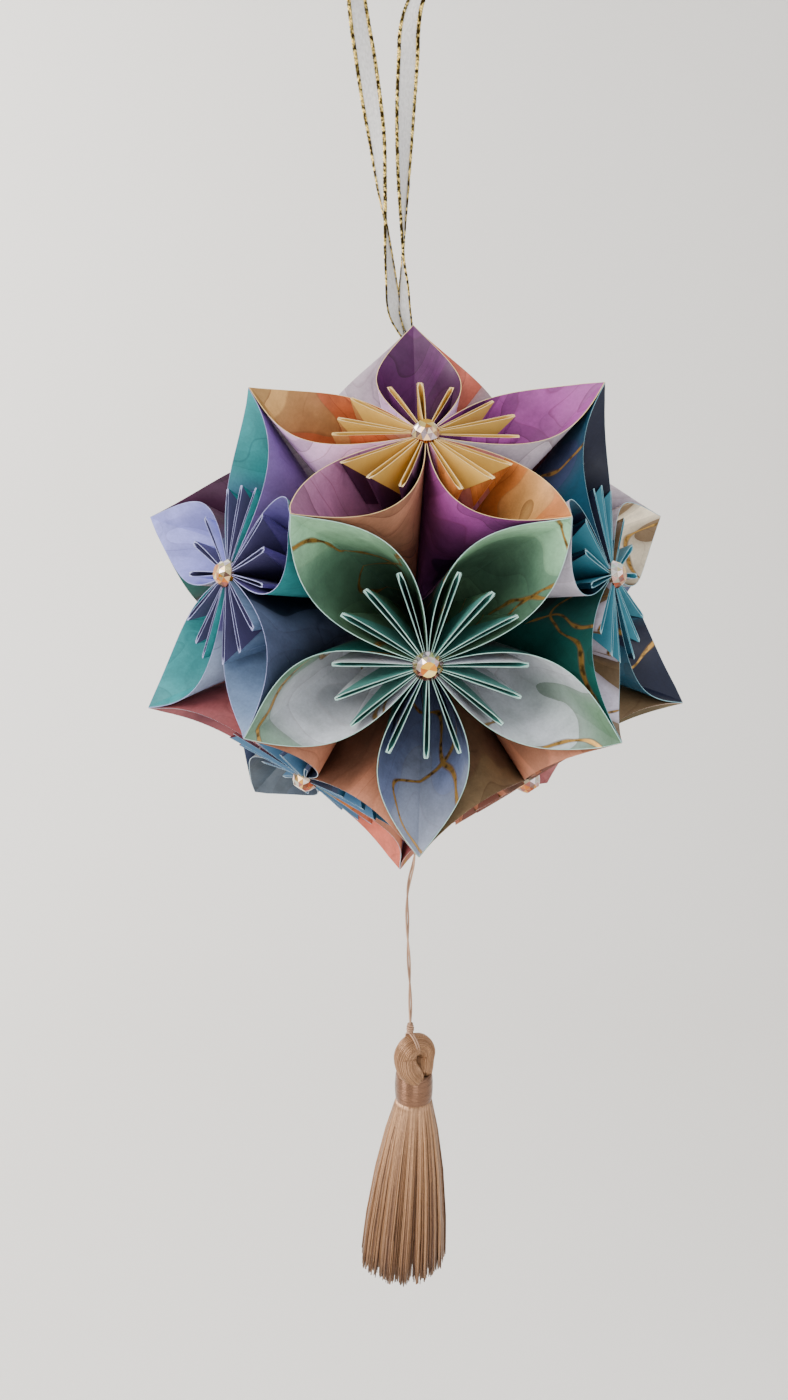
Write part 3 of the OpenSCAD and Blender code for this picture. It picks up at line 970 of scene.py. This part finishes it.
def ribbon_materials():
    """Sheer cloth with fine ribs, and the metal thread of its edges, with painted glints."""
    rib_phase = 60.0
    sheer = Graph("ribbon_sheer")
    place = sheer.attribute("print_at", "Vector")
    along = sheer.vector("DOT_PRODUCT", place, (0.0, 1.0, 0.0))
    ribs = sheer.math("SINE", sheer.math("MULTIPLY", along, rib_phase))
    cloth = sheer.smooth(sheer.noise(place, 9.0, 2.0), 0.3, 0.7)
    sheer.set("Base Color", sheer.mix(cloth, paint("#b8b6b5"), paint("#cccac8")))
    sheer.set("Roughness", sheer.smooth(ribs, -1.0, 1.0, 0.35, 0.5))
    sheer.set("Alpha", 0.6)
    sheer.bump(ribs, 0.15, 0.0001)

    gilt = Graph("ribbon_edge")
    # Painted glints: bright spots in the metal's colour over a dark braid colour, also made smoother there
    painted_glint = gilt.noise(gilt.object_place(), 900.0, 2.0)
    gilt.set("Base Color", gilt.mix(gilt.smooth(painted_glint, 0.44, 0.62), paint("#33270f"), paint("#e6cb78")))
    gilt.set("Metallic", 1.0)
    gilt.set("Roughness", gilt.smooth(painted_glint, 0.35, 0.65, 0.5, 0.22))
    return [sheer.material, gilt.material]


def make_ribbon():
    """A strip of sheer ribbon with a braided metal thread along each edge."""
    cup = 0.12
    face_shift = 0.3 * RIBBON_T
    braid_r = 0.58
    braid_pitch = 2.2
    strands = 3
    strand_r = 0.27
    strand_swing = 0.34
    smooth = smooth_path(RIBBON_ROUTE, 6)
    path = smooth[:, :3] / MM
    twist = np.radians(smooth[:, 3])[:, None]
    width = smooth[:, 4] * RIBBON_W
    way = directions(path)
    across, depth = cross_axes(way)
    wide = np.cos(twist) * depth + np.sin(twist) * across
    thin = np.cross(wide, way)

    builder = Builder()
    columns = np.linspace(-0.5, 0.5, 9)
    reach = columns * (width - 2 * braid_r)[:, None]
    along = running_length(path)[:, None] / PRINT_UNIT
    print_at = np.stack(np.broadcast_arrays(columns, along, 0.0), axis=-1)
    for side in (-1, 1):
        lift = cup * np.cos(columns * math.pi) + side * face_shift
        sheet = path[:, None] + reach[..., None] * wide[:, None] + lift[:, None] * thin[:, None]
        builder.grid(sheet, 0, flip=side < 0, print_at=print_at)

    beads = smooth_path(np.column_stack([path, wide, width, thin]), 4)
    bead_at, bead_wide, bead_width, bead_thin = np.split(beads, [3, 6, 7], axis=1)
    # The braids thin out on their way down to the ball
    slim = np.interp(bead_at[:, 2], [-94.0, -68.0], [0.5, 1.0])
    run = running_length(bead_at)[:, None]
    for side in (-1, 1):
        middle = bead_at + side * (bead_width / 2 - braid_r) * bead_wide
        for strand in range(strands):
            phase = 2 * math.pi * (run / braid_pitch + strand / strands)
            swing = np.cos(phase) * bead_wide + np.sin(phase) * bead_thin
            builder.tube(middle + strand_swing * slim[:, None] * swing, strand_r * slim, 5, 1)
    ribbon = builder.build("hanging_ribbon_cloth", "hanging_ribbon", "ribbon", ribbon_materials())


def thread_material(name, dark, light, roughness, luster=0.15, stretch=(1.0, 1.0, 0.06)):
    """Silky thread: a tint for each strand, with fine streaks that run the way of the stretch."""
    g = Graph(name)
    place = g.object_place()
    streak = g.noise(g.vector("MULTIPLY", place, stretch), 2600.0, 2.0)
    tint = g.attribute("tint")
    tone = g.smooth(streak, 0.3, 0.7, 0.86, 1.12)
    g.set("Base Color", g.shade(g.mix(tint, paint(dark), paint(light)), tone))
    g.set("Roughness", g.smooth(streak, 0.3, 0.7, roughness + 0.06, roughness - 0.06))
    g.set("Metallic", luster)
    return g.material


def make_cord(cord_thread):
    """Two thin threads twisted round each other, from the ball's bottom tip to the knot."""
    ply_r = 0.28
    ply_swing = 0.31
    ply_pitch = 26.0
    path = smooth_path(np.array(CORD_ROUTE) + [0, 0, CORD_TOP_Z], 8) / MM
    run = running_length(path)
    builder = Builder()
    for ply in range(2):
        phase = run * 2 * math.pi / ply_pitch + ply * math.pi
        builder.tube(path + polar(ply_swing, phase, 0.0), ply_r, 7, 0, tint=even_tint(0.4 + 0.3 * ply))
    cord = builder.build("tassel_cord_threads", "tassel_cord", "cord", [cord_thread])
    knot = make_knot(cord_thread)


def make_knot(cord_thread):
    """The cord's last turns round itself, and the ring of thread that carries the tassel's head."""
    thread_r = 0.3
    coil_r = 0.55
    coil_swell = 0.35
    turns = 4.5
    builder = Builder()
    t = np.linspace(0, 1, 61)
    angle = t * turns * 2 * math.pi
    radius = coil_r + coil_swell * np.sin(math.pi * t)
    builder.tube(CORD_END + polar(radius, angle, -KNOT_D * t), thread_r, 6, 0, tint=even_tint(0.5))
    builder.tube([CORD_END, CORD_END - [0, 0, KNOT_D]], coil_r, 8, 0, tint=even_tint(0.3))

    # Two threads side by side, over the head's arch and through its hole
    top = np.array([-TASSEL_OFFSET, 0.0, HEAD_H + thread_r])
    hole = np.array([0.2, 0.0, HEAD_H - BUNDLE_D - thread_r])
    around = np.linspace(0, 2 * math.pi, 33)
    for side in (-1, 1):
        ring = (top + hole) / 2 + np.outer(np.cos(around), (top - hole) / 2)
        ring[:, 1] += (BUNDLE_D / 2 + thread_r) * np.sin(around)
        ring[:, 0] += side * thread_r * 1.1
        builder.tube(on_head(ring), thread_r, 6, 0, tint=even_tint(0.6))
    return builder.build("cord_knot_thread", "cord_knot", "cord", [cord_thread])


def on_head(points):
    """Points of the tassel's head, turned and set on the band."""
    return points @ turned(math.radians(HEAD_TURN)).T + [TASSEL_X, TASSEL_Y, BAND_TOP_Z]


def make_flowers():
    materials = {name: paper_materials(name) for name in PAPERS}
    for index, paper in enumerate(FLOWER_PAPERS):
        chance = random.Random(100 + index)
        node = f"flower_{index + 1:02d}"
        builder = Builder()
        for k, inks in enumerate(PAPERS[paper]["petals"]):
            Petal(builder, index, k, inks, chance).build()
        builder.build(f"{node}_paper", node, f"paper_{paper}", materials[paper])


def stone_material():
    """Coated crystal over foil: each facet keeps a fixed tint, partly a painted reflection, and mirrors the
    room.
    """
    g = Graph("stone_crystal")
    place = g.object_place()
    film = g.smooth(g.noise(place, 700.0, 1.0), 0.35, 0.65, 0.9, 1.1)
    g.set("Base Color", g.shade(g.attribute("tint"), film))
    g.set("Metallic", 0.9)
    g.set("Roughness", 0.12)
    g.set("Coat Weight", 0.35)
    g.set("Coat Roughness", 0.03)
    return g.material


def stone_facets():
    """A flat-backed cut: the top first, then the upright edge and two rows of facets, then the back."""
    sides = STONE_SIDES

    def ring(diameter, height, shift):
        angles = (np.arange(sides) + shift) * 2 * math.pi / sides
        return polar(diameter / 2, angles, height)

    girdle_low = ring(GEM_D, 0.0, 0.0)
    girdle_top = ring(GEM_D, GEM_EDGE_H, 0.0)
    middle = ring(GEM_D * 0.55 + GEM_TOP_D * 0.45, GEM_H * 0.68, 0.5)
    top = ring(GEM_TOP_D, GEM_H, 0.0)
    facets = [[top[j], top[j + 1], top[(j + 2) % sides], [0, 0, GEM_H]] for j in range(0, sides, 2)]
    for j in range(sides):
        i = (j + 1) % sides
        facets += [
            [girdle_low[j], girdle_low[i], girdle_top[i], girdle_top[j]],
            [girdle_top[j], girdle_top[i], middle[j]],
            [girdle_top[i], middle[i], middle[j]],
            [middle[j], middle[i], top[i]],
            [middle[j], top[i], top[j]],
        ]
    return [np.array(facet) for facet in (*facets, girdle_low[::-1])]


def make_stones():
    """A stone on each flower; facets are tinted by the way they face, pale upward and warm downward, as a
    painted reflection of the light from above, and the flat top is golden.
    """
    material = stone_material()
    facets = stone_facets()
    top_facets = STONE_SIDES // 2
    pale, warm, crown = ([np.array(linear(code)) for code in codes] for codes in STONE_TINTS)
    seat = [0, 0, FLOWER_H + GLUE_GAP]
    for index in range(len(FLOWER_PAPERS)):
        chance = random.Random(300 + index)
        turn = flower_turn(index) @ turned(chance.uniform(0, math.pi))
        shift = np.array(MIDDLE_SHIFTS.get(index, (0, 0, 0))) + [0, 0, BALL_Z]
        node = f"gem_{index + 1:02d}"
        builder = Builder()
        for number, facet in enumerate(facets):
            placed = (facet + seat) @ turn.T + shift
            facing = unit(np.cross(placed[1] - placed[0], placed[2] - placed[0]))
            # Painted reflection: facets that face up take pale tints as if lit from above, facets that face
            # down take warm tints, with a random jitter
            painted_reflection_warmth = np.clip(0.62 - 0.8 * facing[2] + chance.uniform(-0.35, 0.35), 0, 1)
            tint = (1 - painted_reflection_warmth) * chance.choice(pale) + painted_reflection_warmth * chance.choice(warm)
            if number < top_facets:
                tint = chance.choice(crown)
            builder.add(placed, [list(range(len(facet)))], 0, tint=np.append(tint, 1.0))
        builder.build(f"{node}_stone", node, "stone", [material], smooth=False)


def make_head(thread):
    """The tassel's head: a bundle of threads folded over into a loop."""
    chance = random.Random(41)
    fullness = 1.12
    arch_steps = 12
    arch_lean = 0.6
    strands = 420
    strand_r = 0.17
    swirl = 0.9
    neck_drop = 0.4
    bundle_r = BUNDLE_D / 2 * fullness
    arch_r = HEAD_W / 2 - bundle_r
    arch_z = HEAD_H - HEAD_W / 2
    leg_r = NECK_R / 2
    # The bundle's course as across, depth, height over the band and radius: up the right leg, over the arch,
    # then down the left side and across the front of the band's upper edge
    course = [
        (leg_r, -1.6, -0.8, leg_r * 0.95),
        (leg_r * 1.25, -0.9, arch_z * 0.25, leg_r * 1.1),
        ((leg_r * 1.25 + arch_r) / 2, -0.3, arch_z * 0.6, (leg_r * 1.1 + bundle_r) / 2),
    ]
    for k in range(arch_steps + 1):
        a = math.pi * k / arch_steps
        lean = -arch_lean * k / arch_steps
        course.append((arch_r * math.cos(a), lean, arch_z + arch_r * math.sin(a), bundle_r))
    course += [
        (-arch_r, -1.2, arch_z * 0.75, bundle_r),
        (-arch_r * 0.85, -2.2, arch_z * 0.4, bundle_r * 0.98),
        (-arch_r * 0.45, -3.2, arch_z * 0.08, bundle_r * 0.85),
        (0.0, -2.4, -1.4, bundle_r * 0.62),
    ]
    smooth = smooth_path(course, 2)
    middle = smooth[:, :3]
    across, depth = cross_axes(directions(middle))
    builder = Builder()
    for n in range(strands):
        # Strands fill the bundle evenly, by the golden angle
        share = math.sqrt((n + 0.5) / strands)
        angle = n * math.pi * (3 - math.sqrt(5)) + np.linspace(0, swirl, len(middle))[:, None]
        spread = ((smooth[:, 3] - strand_r) * share)[:, None]
        path = middle + spread * np.cos(angle) * across + spread * np.sin(angle) * depth
        builder.tube(on_head(path), strand_r, 5, 0, tint=even_tint(chance.uniform(0.5, 0.8)))
    neck = [[TASSEL_X, TASSEL_Y, BAND_TOP_Z - drop] for drop in (BAND_H / 2, neck_drop)]
    builder.tube(neck, NECK_R, 24, 0, tint=even_tint(0.3))
    builder.build("tassel_head_threads", "tassel_head", "tassel", [thread])


def make_band(satin):
    """The band: satin thread wound tight round the neck, row upon row."""
    turns = 18
    steps_per_turn = 6
    ridge = 0.05
    belly = 0.3
    corner = 0.5
    inner = NECK_R + GLUE_GAP
    t = np.linspace(0, 1, turns * steps_per_turn + 1)
    from_edge = np.minimum(t, 1 - t) * BAND_H
    round_off = corner - np.sqrt(corner**2 - np.clip(corner - from_edge, 0, corner) ** 2)
    groove = ridge * (1 - np.abs(np.sin(t * turns * math.pi)))
    radius = BAND_D / 2 - belly * (2 * t - 1) ** 2 - round_off - groove
    profile = np.array([(inner, 0.0), *zip(radius, t * BAND_H), (inner, BAND_H), (inner, 0.0)])
    angles = np.linspace(0, 2 * math.pi, 96, endpoint=False)
    rings = polar(profile[:, :1], angles, profile[:, 1:])
    builder = Builder()
    builder.grid(rings + [TASSEL_X, TASSEL_Y, BAND_BOTTOM_Z], 0, closed=True, tint=even_tint(0.5))
    builder.build("tassel_band_winding", "tassel_band", "band", [satin])


def make_skirt(thread):
    """The skirt: many threads that hang from the neck and spread, two in three of them in loose locks."""
    chance = random.Random(57)
    strands = 1700
    strand_r = 0.22
    strand_sides = 5
    lock_count = 56
    tuck = 0.3
    shoulder = BAND_D / 2
    end = SKIRT_D / 2
    shares = np.array([0.0, 0.04, 0.1, 0.2, 0.32, 0.45, 0.6, 0.75, 0.88, 1.0])
    flare = np.interp(shares, [0, 0.2, 0.45, 0.75, 1], [0, 0.34, 0.65, 0.89, 1])
    radii = strand_r * np.where(shares < 1, 1.0, 0.6)
    locks = [
        (2 * math.pi * (n + chance.uniform(-0.35, 0.35)) / lock_count, chance.uniform(0.86, 1.0))
        for n in range(lock_count)
    ]
    builder = Builder()
    for n in range(strands):
        lock_angle, lock_share = locks[n % lock_count]
        outer = n % 3 != 0
        share = lock_share * chance.uniform(0.93, 1.0) if outer else math.sqrt(chance.random()) * 0.85
        angle = lock_angle + chance.gauss(0, 0.036) if outer else chance.uniform(0, 2 * math.pi)
        drop = SKIRT_L * chance.uniform(0.925, 0.985)
        top = shoulder * (0.94 if outer else 0.55) - strand_r
        radius = top + (end * share - strand_r - top) * flare
        wave = chance.uniform(-0.02, 0.02) * np.sin(shares * chance.uniform(2, 5)) * shares
        path = polar(radius, angle + wave, -drop * shares) + [TASSEL_X, TASSEL_Y, BAND_BOTTOM_Z + tuck]
        path[:, 0] -= SKIRT_SWAY * shares
        # Painted shade: on top of a random tone, each thread is made darker towards its lower end, where less
        # light from above reaches
        tone = np.clip(chance.gauss(0.5, 0.24) + 0.22 - 0.5 * shares, 0, 1)
        tint = np.repeat(tone, strand_sides)[:, None] * np.ones(4)
        builder.tube(path, radii, strand_sides, 0, tint=tint)
    builder.build("tassel_skirt_threads", "tassel_skirt", "tassel", [thread])


def make_backdrop(back_y):
    """A pale floor that sweeps up into a backdrop."""
    floor_z = -0.62
    front_y = -2.5
    top_z = 3.0
    half_w = 3.0
    bend = 0.5
    bend_steps = 12
    profile = [(front_y, floor_z), (back_y - bend, floor_z)]
    for k in range(1, bend_steps + 1):
        a = math.pi / 2 * k / bend_steps
        profile.append((back_y - bend + bend * math.sin(a), floor_z + bend * (1 - math.cos(a))))
    profile.append((back_y, top_z))
    points = [(x, y, z) for y, z in profile for x in (-half_w, half_w)]
    faces = [(2 * k, 2 * k + 1, 2 * k + 3, 2 * k + 2) for k in range(len(profile) - 1)]
    mesh = bpy.data.meshes.new("backdrop")
    mesh.from_pydata(points, [], faces)
    mesh.polygons.foreach_set("use_smooth", [True] * len(faces))
    g = Graph("backdrop_paint")
    tone = g.noise(g.object_place(), 3.0, 2.0)
    g.set("Base Color", g.mix(tone, paint("#e6e2dc"), paint("#ebe8e3")))
    g.set("Roughness", 0.9)
    mesh.materials.append(g.material)
    backdrop = in_scene("backdrop", mesh)


def make_light(name, at, target, size, power, color):
    data = bpy.data.lights.new(name, "AREA")
    data.size = size
    data.energy = power
    data.color = color
    light = in_scene(name, data)
    light.location = at
    light.rotation_euler = (Vector(target) - Vector(at)).to_track_quat("-Z", "Y").to_euler()


def make_stage():
    """The backdrop, large soft lights and an even room."""
    back_y = 1.1
    make_backdrop(back_y)
    ball = (0.0, 0.0, BALL_Z * MM)
    wall = (-0.5, back_y, -0.1)
    make_light("key_light", (-0.75, -0.75, 0.55), ball, 0.8, 17.0, (1.0, 0.97, 0.93))
    make_light("front_fill", (0.1, -1.0, -0.28), ball, 0.5, 3.0, (1.0, 0.99, 0.97))
    make_light("window_light", (-0.9, -0.5, -0.45), ball, 0.5, 5.0, (1.0, 0.98, 0.95))
    make_light("fill_light", (0.9, -0.7, 0.1), ball, 1.2, 5.0, (0.95, 0.97, 1.0))
    make_light("backdrop_light", (-1.2, 0.3, 0.6), wall, 0.8, 26.0, (1.0, 0.98, 0.95))
    world = bpy.data.worlds.new("soft_room")
    world.use_nodes = True
    background = world.node_tree.nodes["Background"]
    background.inputs["Color"].default_value = (0.86, 0.88, 0.92, 1.0)
    background.inputs["Strength"].default_value = 1.0
    bpy.context.scene.world = world


make_camera()
make_ribbon()
make_cord(thread_material("cord_thread", "#6d4d39", "#b58f72", 0.5))
make_flowers()
make_stones()
tassel_thread = thread_material("tassel_thread", "#4e3220", "#b08560", 0.32, luster=0.5)
make_head(tassel_thread)
make_band(thread_material("band_satin", "#54392b", "#8e6a53", 0.24, luster=0.9, stretch=(0.04, 0.04, 1.0)))
make_skirt(tassel_thread)
make_stage()
